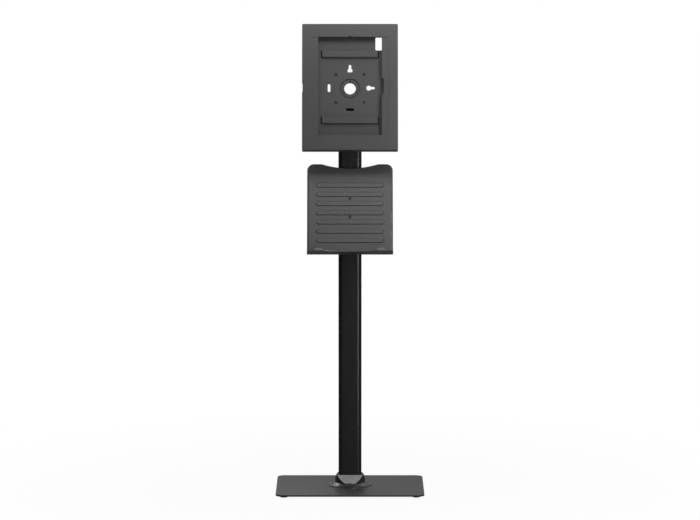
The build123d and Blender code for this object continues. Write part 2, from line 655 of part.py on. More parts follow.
def back_panel_holes():
    """Every opening of the back panel, as one list of cutters."""
    low = BACK_OUTER - OVERRUN
    screw_hole = slab(Circle(VESA_SCREW_RADIUS + HOLE_GAP), low, OVERRUN)
    flat_slot = slab(SlotOverall(SLOT_LENGTH, SLOT_WIDTH), low, OVERRUN)
    cable_outline = RectangleRounded(CABLE_WINDOW_WIDTH, CABLE_WINDOW_HEIGHT, CABLE_WINDOW_CORNER)
    return [
        slab(Circle(HUB_HOLE), low, OVERRUN),
        Pos(0, UPPER_KEYHOLE_REACH) * keyhole(),
        Pos(RIGHT_KEYHOLE_REACH, SIDE_HOLE_LIFT) * Rot(0, 0, -QUARTER_TURN) * keyhole(),
        Pos(-LEFT_SLOT_REACH, SIDE_HOLE_LIFT) * Rot(0, 0, QUARTER_TURN) * flat_slot,
        Pos(0, -LOWER_SLOT_REACH) * flat_slot,
        Pos(CABLE_WINDOW_X, CABLE_WINDOW_Y) * slab(cable_outline, low, OVERRUN),
    ] + [Pos(x, y) * screw_hole for x, y in VESA_POINTS]


def back_housing():
    """Shallow steel pan that carries the tablet, the lock and the hinge eyes."""
    outer = RectangleRounded(2 * HOUSING_X, 2 * HOUSING_Y, HOUSING_CORNER)
    inner = RectangleRounded(
        2 * (HOUSING_X - SHEET), 2 * (HOUSING_Y - SHEET), HOUSING_CORNER - SHEET
    )
    pan = slab(outer, BACK_OUTER, HOUSING_WALL_TOP) - slab(inner, 0, HOUSING_WALL_TOP + OVERRUN)
    tab = Pos(0, LOCK_TAB_TOP / 2) * Rectangle(LOCK_TAB_WIDTH, LOCK_TAB_TOP)
    pan += side_slab(tab, -HOUSING_X, WALL_INNER)
    lock_hole = Pos(0, LOCK_Z) * Circle(LOCK_BARREL + THREAD_GAP)
    pan -= side_slab(lock_hole, -HOUSING_X - OVERRUN, WALL_INNER + OVERRUN)
    pan -= back_panel_holes()
    eye = knuckle(HOUSING_KNUCKLE, HINGE_X - KNUCKLE_RADIUS + SHEET / 2, BACK_OUTER)
    pan += [Pos(0, side * HINGE_REACH) * eye for side in (-1, 1)]
    return ENCLOSURE.location * pan


def window_outline():
    """The cover's window with its camera notches and the side notch on the right."""
    height = WINDOW_TOP - WINDOW_BOTTOM
    outline = Pos(0, (WINDOW_TOP + WINDOW_BOTTOM) / 2) * Rectangle(WINDOW_WIDTH, height)
    for edge in (WINDOW_TOP, WINDOW_BOTTOM):
        outline += Pos(0, edge) * Circle(CAMERA_NOTCH)
    side_notch = Rectangle(2 * SIDE_NOTCH_DEPTH, SIDE_NOTCH_LENGTH)
    return outline + Pos(WINDOW_WIDTH / 2, 0) * side_notch


def front_cover():
    """Deep steel lid: a framed window, a skirt on four sides, hinge eyes and studs."""
    blank = slab(
        RectangleRounded(COVER_WIDTH, COVER_HEIGHT, COVER_CORNER), -COVER_SKIRT, COVER_FACE
    )
    blank = fillet(blank.faces().sort_by(Axis.Z)[-1].edges(), COVER_BEND)
    inside = RectangleRounded(
        COVER_WIDTH - 2 * SHEET, COVER_HEIGHT - 2 * SHEET, COVER_CORNER - SHEET
    )
    cover = blank - slab(inside, -COVER_SKIRT - OVERRUN, COVER_INNER)
    cover -= slab(window_outline(), 0, COVER_FACE + OVERRUN)
    lock_cut = Pos(0, (COVER_FACE - COVER_SKIRT) / 2) * Rectangle(
        LOCK_CUTOUT_WIDTH, COVER_FACE + COVER_SKIRT + 2 * OVERRUN
    )
    cover -= side_slab(lock_cut, -COVER_WIDTH / 2 - OVERRUN, SHEET - COVER_WIDTH / 2)
    relief_top = KNUCKLE_Z + KNUCKLE_RADIUS + SHEET / 2
    relief_length = HOUSING_KNUCKLE + 2 * KNUCKLE_GAP
    relief = Pos(0, (relief_top - COVER_SKIRT - OVERRUN) / 2) * Rectangle(
        relief_length, relief_top + COVER_SKIRT + OVERRUN
    )
    relief_cut = side_slab(relief, COVER_WIDTH / 2 - SHEET - OVERRUN, COVER_WIDTH / 2 + OVERRUN)
    eye = knuckle(COVER_KNUCKLE, COVER_WIDTH / 2 - SHEET / 2, -COVER_SKIRT)
    eye_shift = (HOUSING_KNUCKLE + COVER_KNUCKLE) / 2 + KNUCKLE_GAP
    for side in (-1, 1):
        cover -= Pos(0, side * HINGE_REACH) * relief_cut
        cover += [Pos(0, side * HINGE_REACH + end * eye_shift) * eye for end in (-1, 1)]
    stud = slab(Circle(STUD_RADIUS), COVER_INNER - STUD_LENGTH, COVER_INNER)
    cover += [spot * stud for spot in stud_spots()]
    return ENCLOSURE.location * cover


def stud_spots():
    """Weld studs behind the cover's face, two for each adapter strip."""
    return [Pos(side * STUD_X, end * STUD_Y) for side in (-1, 1) for end in (-1, 1)]


def adapter_strip(side):
    """Flat strip behind one side of the window; the right one has a button notch."""
    middle = (STRIP_INNER + STRIP_OUTER) / 2
    face = Pos(middle, 0) * Rectangle(STRIP_OUTER - STRIP_INNER, STRIP_LENGTH)
    if side > 0:
        notch_floor = STRIP_INNER + STRIP_NOTCH_DEPTH
        face -= outline_of(
            [
                (STRIP_INNER - OVERRUN, STRIP_NOTCH_TOP),
                (notch_floor, STRIP_NOTCH_TOP),
                (notch_floor, -STRIP_NOTCH_FOOT),
                (STRIP_INNER, -STRIP_NOTCH_END),
                (STRIP_INNER - OVERRUN, -STRIP_NOTCH_END),
            ]
        )
    for end in (-1, 1):
        face -= Pos(STUD_X, end * STUD_Y) * Circle(STUD_RADIUS + HOLE_GAP)
    strip = slab(face, STRIP_BACK, COVER_INNER)
    if side < 0:
        strip = mirror(strip, about=Plane.YZ)
    return ENCLOSURE.location * strip


def strip_nuts():
    """Nuts on the weld studs, holding the adapter strips."""
    face = hexagon(STUD_NUT_FLATS) - Circle(STUD_RADIUS + THREAD_GAP)
    nut = slab(face, STRIP_BACK - STUD_NUT_HEIGHT, STRIP_BACK)
    return [ENCLOSURE.location * spot * nut for spot in stud_spots()]


def cross_bar(height):
    """Hollow pressed bar across the back panel, with leaning ends."""

    def section(inset, low, top):
        half = BAR_LENGTH / 2 - inset
        return outline_of([(-half, low), (half, low), (half - BAR_SLOPE, top), (BAR_SLOPE - half, top)])

    outer = cross_slab(section(0, 0, BAR_HEIGHT), -BAR_WIDTH / 2, BAR_WIDTH / 2)
    inner = cross_slab(
        section(SHEET, 0, BAR_HEIGHT - SHEET), SHEET - BAR_WIDTH / 2, BAR_WIDTH / 2 - SHEET
    )
    return ENCLOSURE.location * Pos(0, height) * (outer - inner)


def hinge_pins():
    """Two plain pins, each through three hinge eyes and flush with their ends."""
    half = HOUSING_KNUCKLE / 2 + KNUCKLE_GAP + COVER_KNUCKLE
    pin = cross_slab(Circle(PIN_RADIUS), -half, half)
    return [
        ENCLOSURE.location * Pos(HINGE_X, side * HINGE_REACH, KNUCKLE_Z) * pin for side in (-1, 1)
    ]


def lock_body():
    """Threaded lock barrel through the left wall, with its bezel outside."""
    bezel = Circle(LOCK_BEZEL) - Circle(LOCK_CORE + RUNNING_GAP)
    barrel = Circle(LOCK_BARREL) - Circle(LOCK_CORE + RUNNING_GAP)
    body = side_slab(bezel, -HOUSING_X - LOCK_BEZEL_THICKNESS, -HOUSING_X)
    body += side_slab(barrel, -HOUSING_X, LOCK_END)
    return ENCLOSURE.location * Pos(0, 0, LOCK_Z) * body


def lock_nut():
    """Hexagon nut that clamps the lock on the wall."""
    face = hexagon(LOCK_NUT_FLATS) - Circle(LOCK_BARREL + THREAD_GAP)
    nut = side_slab(face, WALL_INNER, WALL_INNER + LOCK_NUT_HEIGHT)
    return ENCLOSURE.location * Pos(0, 0, LOCK_Z) * nut


def lock_core():
    """Turning core of the lock, with its keyway outside."""
    front = -HOUSING_X - LOCK_BEZEL_THICKNESS
    core = side_slab(Circle(LOCK_CORE), front, LOCK_END)
    keyway = Rectangle(KEYWAY_WIDTH, KEYWAY_LENGTH)
    core -= side_slab(keyway, front - OVERRUN, front + KEYWAY_DEPTH)
    tapped = Circle(CAM_SCREW_RADIUS + THREAD_GAP)
    core -= side_slab(tapped, CAM_BACK - CAM_SCREW_LENGTH, LOCK_END + OVERRUN)
    return ENCLOSURE.location * Pos(0, 0, LOCK_Z) * core


def lock_cam():
    """Flat arm on the end of the core, pointing out to the viewer when unlocked."""
    reach = CAM_REACH - CAM_WIDTH / 2
    arm = Circle(CAM_WIDTH / 2)
    arm += Pos(0, reach / 2) * Rectangle(CAM_WIDTH, reach)
    arm += Pos(0, reach) * Circle(CAM_WIDTH / 2)
    arm -= Circle(CAM_SCREW_RADIUS + HOLE_GAP)
    return ENCLOSURE.location * Pos(0, 0, LOCK_Z) * side_slab(arm, LOCK_END, CAM_BACK)


def cam_screw():
    """Screw that holds the cam on the core."""
    screw = cap_screw(CAM_SCREW_RADIUS, CAM_SCREW_LENGTH, CAM_SCREW_HEAD, CAM_SCREW_HEAD_HEIGHT)
    return ENCLOSURE.location * Pos(CAM_BACK, 0, LOCK_Z) * Rot(0, QUARTER_TURN, 0) * screw


def lock_catch():
    """Bent catch behind the cover's face; the locked cam turns in front of its foot."""
    leg_outer = LOCK_END - CATCH_SETOFF - SHEET
    middle = CATCH_START + CATCH_WIDTH / 2
    section = outline_of(
        [
            (leg_outer, COVER_INNER),
            (leg_outer, CATCH_FOOT_Z),
            (leg_outer + CATCH_FOOT, CATCH_FOOT_Z),
            (leg_outer + CATCH_FOOT, CATCH_FOOT_Z + SHEET),
            (leg_outer + SHEET, CATCH_FOOT_Z + SHEET),
            (leg_outer + SHEET, COVER_INNER),
        ]
    )
    catch = cross_slab(section, middle - CATCH_WIDTH / 2, middle + CATCH_WIDTH / 2)
    return ENCLOSURE.location * catch


def scoop(top):
    """Disc whose lower edge scoops the middle of an edge at the given height."""
    radius = (SCOOP_HALF_WIDTH**2 + SCOOP_DEPTH**2) / (2 * SCOOP_DEPTH)
    return Pos(0, top - SCOOP_DEPTH + radius) * Circle(radius)


def round_points(face, spots, radius):
    """Round the corners of a face that lie at the given places."""
    for spot in spots:
        corner = face.vertices().sort_by_distance(spot)[0]
        face = fillet(corner, radius)
    return face


def tray_outline(inset):
    """Tray seen square on: round shoulders, a scooped top and spare length at the foot."""
    half = TRAY_WIDTH / 2
    top = TRAY_HEIGHT / 2
    spare = 2 * TRAY_FLANGE
    face = Pos(0, -spare / 2) * Rectangle(TRAY_WIDTH, TRAY_HEIGHT + spare) - scoop(top)
    face = round_points(face, [(-half, top, 0), (half, top, 0)], TRAY_TOP_CORNER)
    kinks = [(side * SCOOP_HALF_WIDTH, top, 0) for side in (-1, 1)]
    face = round_points(face, kinks, SCOOP_ROUND)
    return offset(face, -inset) if inset else face


def rib_heights():
    """Centres of the ribs, up the tray's face."""
    first = TRAY_HEIGHT / 2 - RIB_TOP_MARGIN
    return [first - index * RIB_PITCH for index in range(RIB_COUNT)]


def tray_ledge():
    """Ledge along the foot of the tray, scooped in front, with two leaning tabs."""
    foot = -TRAY_HEIGHT / 2
    run = LEDGE_DEPTH + TRAY_BEND
    face = Pos(0, LEDGE_DEPTH - run / 2) * Rectangle(TRAY_WIDTH, run) - scoop(LEDGE_DEPTH)
    front = [(side * TRAY_WIDTH / 2, LEDGE_DEPTH, 0) for side in (-1, 1)]
    face = round_points(face, front, LEDGE_CORNER)
    back = [(side * TRAY_WIDTH / 2, -TRAY_BEND, 0) for side in (-1, 1)]
    face = round_points(face, back, TRAY_BEND)
    kinks = [(side * SCOOP_HALF_WIDTH, LEDGE_DEPTH, 0) for side in (-1, 1)]
    face = round_points(face, kinks, SCOOP_ROUND)
    ledge = cross_slab(face, foot, foot + SHEET)
    lean = radians(TAB_LEAN)
    rise = TAB_HEIGHT * cos(lean)
    fall = TAB_HEIGHT * sin(lean)
    section = outline_of(
        [
            (foot, LEDGE_DEPTH),
            (foot + rise, LEDGE_DEPTH - fall),
            (foot + rise - SHEET * sin(lean), LEDGE_DEPTH - fall - SHEET * cos(lean)),
            (foot, LEDGE_DEPTH - SHEET / cos(lean)),
        ]
    )
    tab = side_slab(section, -TAB_WIDTH / 2, TAB_WIDTH / 2)
    return ledge + [Pos(side * TAB_X, 0) * tab for side in (-1, 1)]


def document_tray():
    """Pressed steel tray: rim folded back, raised ribs and a ledge folded out at its foot."""
    shell = slab(tray_outline(0), -TRAY_FLANGE, 0)
    rim = shell.faces().sort_by(Axis.Z)[-1].edges()
    shell = fillet(rim, TRAY_BEND)
    hollow = slab(tray_outline(SHEET), -TRAY_FLANGE - OVERRUN, -SHEET)
    hollow = fillet(hollow.faces().sort_by(Axis.Z)[-1].edges(), TRAY_BEND - SHEET)
    below = Pos(0, -TRAY_HEIGHT) * Rectangle(TRAY_WIDTH + 2 * OVERRUN, TRAY_HEIGHT)
    tray = shell - hollow - slab(below, -TRAY_FLANGE - OVERRUN, OVERRUN)
    relief = Pos(0, TRAY_RELIEF) * below
    tray -= slab(relief, -TRAY_FLANGE - OVERRUN, -TRAY_BEND)
    rib = extrude(SlotOverall(RIB_LENGTH, RIB_WIDTH), RIB_RAISE, taper=RIB_SLOPE)
    groove_width = RIB_WIDTH - SHEET
    groove = extrude(SlotOverall(RIB_LENGTH - SHEET, groove_width), RIB_RAISE, taper=RIB_SLOPE)
    heights = rib_heights()
    tray += [Pos(0, height) * rib for height in heights]
    tray -= [Pos(0, height, -SHEET) * groove for height in heights]
    hole = slab(Circle(TRAY_SCREW_RADIUS + HOLE_GAP), -SHEET - OVERRUN, OVERRUN)
    tray -= [Pos(0, height) * hole for height in (TRAY_SCREW_UPPER, -TRAY_SCREW_LOWER)]
    return TRAY.location * (tray + tray_ledge())


def tray_bracket():
    """Open wedge of folded steel between the pole's front and the tray's back."""
    upper = TRAY.from_local_coords(Vector(0, BRACKET_ABOVE, -SHEET))
    lower = TRAY.from_local_coords(Vector(0, -BRACKET_BELOW, -SHEET))
    run = Vector(0, upper.Y - lower.Y, upper.Z - lower.Z).normalized()
    wall = BRACKET_WALL / run.Z
    above = upper + run * OVERRUN
    below = lower - run * OVERRUN
    outer = outline_of(
        [(lower.Y, lower.Z), (POLE_FRONT, lower.Z), (POLE_FRONT, upper.Z), (upper.Y, upper.Z)]
    )
    inner = outline_of(
        [
            (below.Y + wall, below.Z),
            (POLE_FRONT - BRACKET_WALL, below.Z),
            (POLE_FRONT - BRACKET_WALL, above.Z),
            (above.Y + wall, above.Z),
        ]
    )
    half = BRACKET_WIDTH / 2
    bracket = side_slab(outer, -half, half)
    bracket -= side_slab(inner, BRACKET_WALL - half, half - BRACKET_WALL)
    tapped = slab(Circle(TRAY_SCREW_RADIUS + THREAD_GAP), -SHEET - BRACKET_WALL - OVERRUN, OVERRUN)
    for height in (TRAY_SCREW_UPPER, -TRAY_SCREW_LOWER):
        bracket -= TRAY.location * Pos(0, height) * tapped
    plain = cross_slab(
        Circle(BRACKET_SCREW_RADIUS + HOLE_GAP), POLE_FRONT - BRACKET_WALL - OVERRUN, POLE_FRONT + OVERRUN
    )
    bracket -= [Pos(0, 0, height) * plain for height in tray_bracket_screw_heights()]
    return bracket


def tray_screws():
    """Two screws from the tray's face into its bracket."""
    screw = cap_screw(TRAY_SCREW_RADIUS, TRAY_SCREW_LENGTH, TRAY_SCREW_HEAD, TRAY_SCREW_HEAD_HEIGHT)
    heights = (TRAY_SCREW_UPPER, -TRAY_SCREW_LOWER)
    return [TRAY.location * Pos(0, height) * screw for height in heights]


def tray_bracket_screws():
    """Two screws from inside the bracket into the pole's front wall."""
    screw = cap_screw(
        BRACKET_SCREW_RADIUS, BRACKET_SCREW_LENGTH, BRACKET_SCREW_HEAD, BRACKET_SCREW_HEAD_HEIGHT
    )
    seat = POLE_FRONT - BRACKET_WALL
    return [
        Pos(0, seat, height) * Rot(QUARTER_TURN, 0, 0) * screw for height in tray_bracket_screw_heights()
    ]


save("base_plate", base_plate())
save("base_feet", *base_feet())
save("base_bolts", *base_bolts())
save("collar", collar())
save("pole", pole())
save("cable_bushing", cable_bushing())
save("pole_cap", pole_cap())
save("head_yoke", head_yoke())
save("yoke_screws", *yoke_screws())
save("tilt_bracket", tilt_bracket())
save("tilt_washers", *tilt_washers())
save("tilt_bolt", tilt_bolt())
save("tilt_nut", tilt_nut())
save("swivel_washer", swivel_washer())
save("keeper_ring", keeper_ring())
save("keeper_screws", *keeper_screws())
save("swivel_plate", swivel_plate())
save("enclosure_screws", *enclosure_screws())
save("back_housing", back_housing())
save("cross_bar_upper", cross_bar(BAR_UPPER))
save("cross_bar_lower", cross_bar(-BAR_LOWER))
save("front_cover", front_cover())
save("adapter_strip_left", adapter_strip(-1))
save("adapter_strip_right", adapter_strip(1))
save("strip_nuts", *strip_nuts())
save("hinge_pins", *hinge_pins())
save("lock_body", lock_body())
save("lock_nut", lock_nut())
save("lock_core", lock_core())
save("lock_cam", lock_cam())
save("cam_screw", cam_screw())
save("lock_catch", lock_catch())
save("document_tray", document_tray())
save("tray_bracket", tray_bracket())
save("tray_screws", *tray_screws())
save("tray_bracket_screws", *tray_bracket_screws())
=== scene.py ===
"""Looks of a tablet security floor stand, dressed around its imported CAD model.

Metres, +Z up, the viewer on the -Y side. The origin lies on the floor under the
centre of the base plate.
"""
import json
import logging
import math
from dataclasses import dataclass
from enum import Enum

import bpy
import numpy as np
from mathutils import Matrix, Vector


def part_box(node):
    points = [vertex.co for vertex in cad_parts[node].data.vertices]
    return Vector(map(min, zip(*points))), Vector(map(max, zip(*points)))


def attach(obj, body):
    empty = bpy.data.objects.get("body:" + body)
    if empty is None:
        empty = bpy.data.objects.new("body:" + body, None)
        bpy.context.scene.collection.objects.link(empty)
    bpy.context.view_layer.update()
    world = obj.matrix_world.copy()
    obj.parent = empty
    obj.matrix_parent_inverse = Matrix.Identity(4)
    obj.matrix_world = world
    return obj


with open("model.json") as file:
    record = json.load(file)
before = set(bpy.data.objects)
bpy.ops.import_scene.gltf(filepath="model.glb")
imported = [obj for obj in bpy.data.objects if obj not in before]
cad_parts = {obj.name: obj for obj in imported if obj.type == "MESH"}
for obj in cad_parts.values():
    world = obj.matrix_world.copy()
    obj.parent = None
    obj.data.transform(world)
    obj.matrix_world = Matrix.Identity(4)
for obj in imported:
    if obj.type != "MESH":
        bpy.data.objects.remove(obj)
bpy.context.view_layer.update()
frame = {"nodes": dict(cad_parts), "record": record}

MM = 0.001
IMAGE_WIDTH = 700.0
PLASTIC_IOR = 1.5
SRGB_OFFSET = 0.055
SRGB_POWER = 2.4

log = logging.getLogger("floor_stand")
Colour = tuple[float, float, float]
Array = np.ndarray


def grey(level: float) -> Colour:
    """Linear colour of a grey.

    Args:
        level: the grey as it shows on a screen, from 0 to 255.

    Returns:
        Red, green and blue for a shader socket.
    """
    linear = ((level / 255.0 + SRGB_OFFSET) / (1.0 + SRGB_OFFSET)) ** SRGB_POWER
    return (linear, linear, linear)


def shaded(colour: Colour, share: float) -> Colour:
    """Give a colour with all its channels times a share."""
    return (share * colour[0], share * colour[1], share * colour[2])


class Graph:
    """A node material under construction, with short calls for its nodes and links."""

    def __init__(self, name: str) -> None:
        """Make an empty material with an output, a shader and object coordinates."""
        self.material = bpy.data.materials.new(name)
        self.material.use_nodes = True
        self.tree = self.material.node_tree
        self.tree.nodes.clear()
        self.output = self.node("ShaderNodeOutputMaterial")
        self.shader = self.node("ShaderNodeBsdfPrincipled")
        self.link(self.shader, "BSDF", self.output, "Surface")
        self.place = self.node("ShaderNodeTexCoord")

    def node(self, kind: str, **values: object) -> bpy.types.Node:
        """Add a node.

        Args:
            kind: Blender's name for the node's class.
            values: properties of the node, set as attributes.

        Returns:
            The new node.
        """
        node = self.tree.nodes.new(kind)
        for key, value in values.items():
            setattr(node, key, value)
        return node

    def link(self, source: bpy.types.Node, out: str, target: bpy.types.Node, into: str) -> None:
        """Join an output of one node to an input of another."""
        self.tree.links.new(source.outputs[out], target.inputs[into])

    def stretched(self, sizes: Colour) -> bpy.types.Node:
        """Object coordinates counted in grains.

        Args:
            sizes: length of one grain along X, Y and Z in metres.

        Returns:
            A mapping node whose Vector output grows by one for each grain.
        """
        mapping = self.node("ShaderNodeMapping")
        mapping.inputs["Scale"].default_value = [1.0 / size for size in sizes]
        self.link(self.place, "Object", mapping, "Vector")
        return mapping

    def noise(self, sizes: Colour, detail: float = 2.0, rough: float = 0.5) -> bpy.types.Node:
        """Noise with grains of the given real sizes.

        Args:
            sizes: length of one grain along X, Y and Z in metres.
            detail: number of finer layers.
            rough: share that each finer layer keeps.

        Returns:
            The noise node; its Fac output runs from 0 to 1 about 0.5.
        """
        noise = self.node("ShaderNodeTexNoise")
        noise.inputs["Scale"].default_value = 1.0
        noise.inputs["Detail"].default_value = detail
        noise.inputs["Roughness"].default_value = rough
        self.link(self.stretched(sizes), "Vector", noise, "Vector")
        return noise

    def ranged(self, source: bpy.types.Node, low: float, high: float,
               start: float = 0.3, end: float = 0.7) -> bpy.types.Node:
        """Spread a Fac output over a range.

        Args:
            source: node with a Fac output.
            low: value given at start.
            high: value given at end.
            start: Fac below which the value stays low.
            end: Fac above which the value stays high.

        Returns:
            A map range node with its Result output.
        """
        spread = self.node("ShaderNodeMapRange")
        ends = {"From Min": start, "From Max": end, "To Min": low, "To Max": high}
        for key, value in ends.items():
            spread.inputs[key].default_value = value
        self.link(source, "Fac", spread, "Value")
        return spread

    def blended(self, source: bpy.types.Node, out: str, first: Colour, second: Colour) -> None:
        """Mix two colours by a value and give the result to the shader's colour.

        Args:
            source: node that holds the share of the second colour.
            out: name of its output.
            first: linear colour at 0.
            second: linear colour at 1.
        """
        mix = self.node("ShaderNodeMix", data_type="RGBA")
        mix.inputs[6].default_value = (*first, 1.0)
        mix.inputs[7].default_value = (*second, 1.0)
        self.tree.links.new(source.outputs[out], mix.inputs[0])
        self.tree.links.new(mix.outputs[2], self.shader.inputs["Base Color"])

    def roughened(self, source: bpy.types.Node, low: float, high: float) -> None:
        """Let a Fac output vary the shader's roughness between two values."""
        self.link(self.ranged(source, low, high), "Result", self.shader, "Roughness")

    def bumped(self, *layers: tuple[bpy.types.Node, float], edge: float = 0.0) -> None:
        """Raise the surface by Fac outputs, over edges that are rounded in the shading.

        Args:
            layers: noise nodes, each with the height of its relief in metres.
            edge: radius of the rounding of sharp edges in metres, or 0 for none.
        """
        previous = None
        if edge > 0.0:
            previous = self.node("ShaderNodeBevel")
            previous.inputs["Radius"].default_value = edge
        for source, height in layers:
            bump = self.node("ShaderNodeBump")
            bump.inputs["Distance"].default_value = height
            self.link(source, "Fac", bump, "Height")
            if previous is not None:
                self.link(previous, "Normal", bump, "Normal")
            previous = bump
        self.link(previous, "Normal", self.shader, "Normal")

    def set(self, **values: float) -> None:
        """Set the shader's uniform values; an underscore in a key stands for a space."""
        for key, value in values.items():
            self.shader.inputs[key.replace("_", " ")].default_value = value


@dataclass(frozen=True)
class PowderCoat:
    """Baked powder paint on steel: a fine orange peel with sand-like grains in it.

    Grain and cloud share the variation of the colour. Edge is the radius to which sharp edges
    look rounded, and gloss is the weight of the clear top of the coat.
    """

    colour: Colour
    roughness: float = 0.4
    peel: float = 1.6 * MM
    grain: float = 0.35 * MM
    relief: float = 0.05 * MM
    variation: float = 0.10
    grain_share: float = 0.7
    cloud: float = 90.0 * MM
    cloud_share: float = 0.3
    spread: float = 0.06
    grain_relief: float = 0.4
    edge: float = 1.0 * MM
    gloss: float = 0.6
    gloss_roughness: float = 0.22

    def build(self, name: str) -> bpy.types.Material:
        """Build the node material under the given name."""
        graph = Graph(name)
        peel = graph.noise((self.peel,) * 3, detail=1.0)
        grain = graph.noise((self.grain,) * 3, detail=3.0, rough=0.7)
        cloud = graph.noise((self.cloud,) * 3, detail=2.0)
        share = graph.node("ShaderNodeMath", operation="ADD")
        graph.link(graph.ranged(grain, 0.0, self.grain_share), "Result", share, "Value")
        clouded = graph.ranged(cloud, 0.0, self.cloud_share)
        graph.tree.links.new(clouded.outputs["Result"], share.inputs[1])
        darker = shaded(self.colour, 1.0 - self.variation)
        graph.blended(share, "Value", darker, shaded(self.colour, 1.0 + self.variation))
        graph.roughened(grain, self.roughness - self.spread, self.roughness + self.spread)
        graph.bumped((peel, self.relief), (grain, self.grain_relief * self.relief), edge=self.edge)
        graph.set(
            IOR=PLASTIC_IOR, Coat_Weight=self.gloss, Coat_Roughness=self.gloss_roughness,
        )
        return graph.material


@dataclass(frozen=True)
class Anodised:
    """Black anodised extrusion: fine lines from the die that run along the tube.

    Wider bands vary the colour, and an even finer etch roughens the lines.
    """

    colour: Colour
    roughness: float = 0.3
    line: float = 0.22 * MM
    run: float = 120.0 * MM
    relief: float = 0.012 * MM
    band: float = 2.5 * MM
    variation: float = 0.15
    etch: float = 0.12 * MM
    etch_relief: float = 0.3

    def build(self, name: str) -> bpy.types.Material:
        """Build the node material under the given name."""
        graph = Graph(name)
        lines = graph.noise((self.line, self.line, self.run), detail=3.0, rough=0.6)
        bands = graph.noise((self.band, self.band, 2.0 * self.run), detail=1.0)
        etch = graph.noise((self.etch,) * 3, detail=2.0)
        darker = shaded(self.colour, 1.0 - self.variation)
        lighter = shaded(self.colour, 1.0 + self.variation)
        graph.blended(graph.ranged(bands, 0.0, 1.0), "Result", darker, lighter)
        graph.roughened(lines, self.roughness - 0.05, self.roughness + 0.07)
        graph.bumped((lines, self.relief), (etch, self.etch_relief * self.relief))
        graph.set(IOR=PLASTIC_IOR)
        return graph.material


class Surface(Enum):
    """Surface of a plastic or rubber moulding: grain size, relief and spread of roughness."""

    POLISHED = (6.0 * MM, 0.004 * MM, 0.02)
    SMOOTH = (0.8 * MM, 0.006 * MM, 0.05)
    ERODED = (0.45 * MM, 0.05 * MM, 0.08)
    PEBBLED = (1.1 * MM, 0.12 * MM, 0.08)


@dataclass(frozen=True)
class Moulding:
    """Moulded plastic or rubber whose relief comes from the tool's surface.

    Lustre is how metallic a paint over the moulding looks, from 0 to 1.
    """

    colour: Colour
    roughness: float
    surface: Surface
    lustre: float = 0.0
    flow: float = 30.0 * MM
    variation: float = 0.1

    def build(self, name: str) -> bpy.types.Material:
        """Build the node material under the given name."""
        graph = Graph(name)
        size, relief, spread = self.surface.value
        texture = graph.noise((size,) * 3, detail=2.0)
        flow = graph.noise((self.flow,) * 3, detail=1.0)
        darker = shaded(self.colour, 1.0 - self.variation)
        lighter = shaded(self.colour, 1.0 + self.variation)
        graph.blended(graph.ranged(flow, 0.0, 1.0), "Result", darker, lighter)
        graph.roughened(texture, self.roughness - spread, self.roughness + spread)
        graph.bumped((texture, relief))
        graph.set(IOR=PLASTIC_IOR, Metallic=self.lustre)
        return graph.material


class Plating(Enum):
    """Metal surface of small parts: grain size, relief and how metallic it is."""

    OXIDE = (0.25 * MM, 0.02 * MM, 0.6)
    ZINC = (1.2 * MM, 0.01 * MM, 1.0)
    CHROME = (4.0 * MM, 0.003 * MM, 1.0)


@dataclass(frozen=True)
class PlatedSteel:
    """Turned or pressed steel with a black oxide, zinc or chrome surface."""

    colour: Colour
    roughness: float
    plating: Plating
    patch: float = 5.0 * MM
    variation: float = 0.2

    def build(self, name: str) -> bpy.types.Material:
        """Build the node material under the given name."""
        graph = Graph(name)
        size, relief, metallic = self.plating.value
        grain = graph.noise((size,) * 3, detail=3.0)
        patches = graph.noise((self.patch,) * 3, detail=2.0)
        least, most = 1.0 - self.variation, 1.0 + self.variation
        darker = shaded(self.colour, least)
        graph.blended(graph.ranged(patches, 0.0, 1.0), "Result", darker, self.colour)
        graph.roughened(grain, least * self.roughness, most * self.roughness)
        graph.bumped((grain, relief))
        graph.set(Metallic=metallic)
        return graph.material


FINISHES = {
    "grey_coat": PowderCoat(grey(71)),
    "base_coat": PowderCoat(grey(53), roughness=0.45, gloss=0.2),
    "dark_coat": PowderCoat(grey(38), relief=0.03 * MM, edge=0.5 * MM),
    "pole_black": Anodised(grey(33)),
    "collar_gloss": Moulding(grey(98), 0.32, Surface.POLISHED, lustre=0.8),
    "black_plastic": Moulding(grey(30), 0.5, Surface.ERODED),
    "washer_plastic": Moulding(grey(48), 0.4, Surface.SMOOTH),
    "black_screw": PlatedSteel(grey(52), 0.4, Plating.OXIDE),
    "bright_steel": PlatedSteel(grey(180), 0.34, Plating.ZINC),
    "lock_chrome": PlatedSteel(grey(205), 0.14, Plating.CHROME),
    "rubber": Moulding(grey(28), 0.7, Surface.PEBBLED),
}


def grid_mesh(name: str, points: Array, closed_rows: bool = False,
              closed_columns: bool = False) -> bpy.types.Object:
    """Make a mesh from a grid of points.

    Args:
        name: name of the new piece.
        points: array of rows by columns by three.
        closed_rows: the last row joins the first.
        closed_columns: the last column joins the first.

    Returns:
        The new object, linked into the scene, with smooth faces.
    """
    rows, columns = points.shape[:2]
    index = np.arange(rows * columns).reshape(rows, columns)
    below = np.roll(index, -1, axis=0)
    beside = np.roll(index, -1, axis=1)
    corner = np.roll(below, -1, axis=1)
    quads = np.stack([index, beside, corner, below], axis=-1)
    quads = quads[: rows if closed_rows else rows - 1, : columns if closed_columns else columns - 1]
    mesh = bpy.data.meshes.new(name)
    mesh.from_pydata(points.reshape(-1, 3).tolist(), [], quads.reshape(-1, 4).tolist())
    mesh.polygons.foreach_set("use_smooth", np.ones(len(mesh.polygons), bool))
    mesh.update()
    piece = bpy.data.objects.new(name, mesh)
    bpy.context.scene.collection.objects.link(piece)
    return piece


